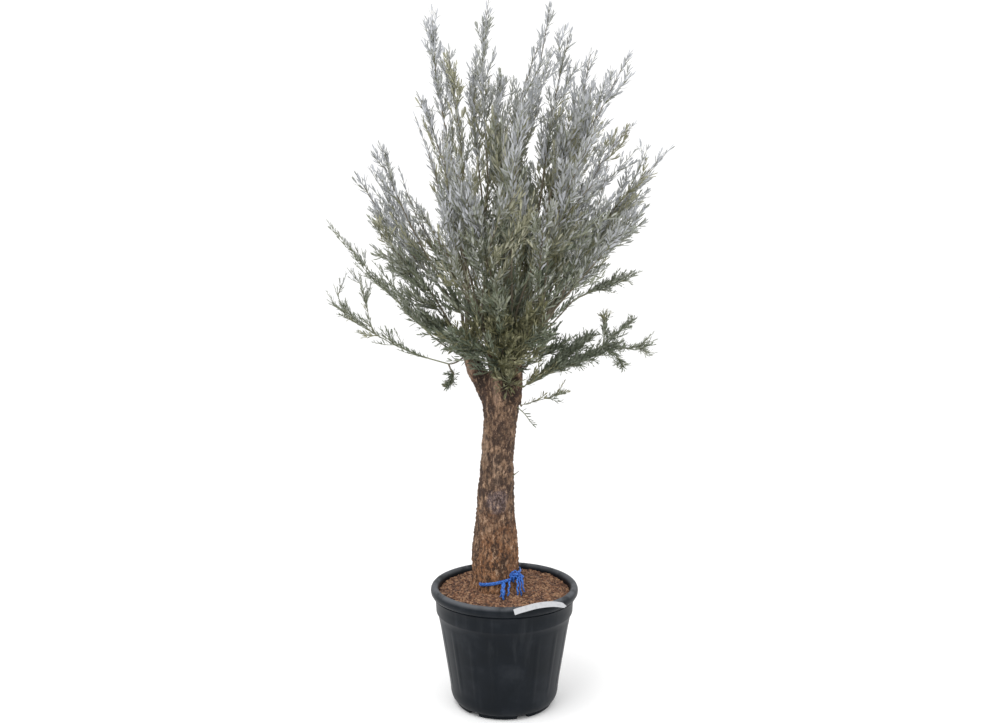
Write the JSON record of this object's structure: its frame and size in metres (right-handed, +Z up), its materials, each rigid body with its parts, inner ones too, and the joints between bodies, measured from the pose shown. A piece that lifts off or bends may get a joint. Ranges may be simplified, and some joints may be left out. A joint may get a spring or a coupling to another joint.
{
  "type": "potted olive tree",
  "caption": "Young olive tree with a thick bare trunk, a loose upright silvery crown and low side sprays, in a round black plastic nursery pot.",
  "frame": {"origin": "centre of the pot's flat underside", "axes": "+Z up the trunk; -Y towards the front, the side with the tie's knot and the label; +X to the right as seen from the front"},
  "size_m": [1.105, 0.9632, 2.324],
  "materials": {
    "pot": "matt black moulded plastic, the rim scuffed to grey",
    "soil": "coarse red-brown soil with bark chips",
    "bark": "rough knobbly bark, warm brown with grey patches",
    "foliage": "narrow leaves, grey-green above and silvery beneath",
    "tie": "blue twine",
    "label": "plain white strip"
  },
  "bodies": {
    "root": {"pot": "pot", "soil": "soil", "trunk": "bark", "bough_left": "bark", "bough_middle": "bark", "bough_right": "bark", "bough_back": "bark", "crown_core": "foliage", "crown_top_middle": "foliage", "crown_top_left": "foliage", "crown_top_right": "foliage", "crown_top_far_right": "foliage", "crown_right_shoulder": "foliage", "crown_right_upper": "foliage", "crown_right": "foliage", "crown_right_lower": "foliage", "crown_left_shoulder": "foliage", "crown_left": "foliage", "crown_left_lower": "foliage", "crown_front_left": "foliage", "crown_front": "foliage", "crown_front_right": "foliage", "crown_back_left": "foliage", "crown_back": "foliage", "crown_back_right": "foliage", "skirt_front": "foliage", "skirt_back": "foliage", "spray_left": "foliage", "spray_low_left": "foliage", "spray_low_left_end": "foliage", "spray_right": "foliage", "spray_low_right": "foliage", "spray_low_right_end": "foliage", "skirt_left": "foliage", "skirt_right": "foliage", "twig_low_right": "foliage", "tuft_low_left": "foliage", "sprouts_at_fork": "foliage", "tie": "tie", "label": "label"}
  },
  "joints": []
}
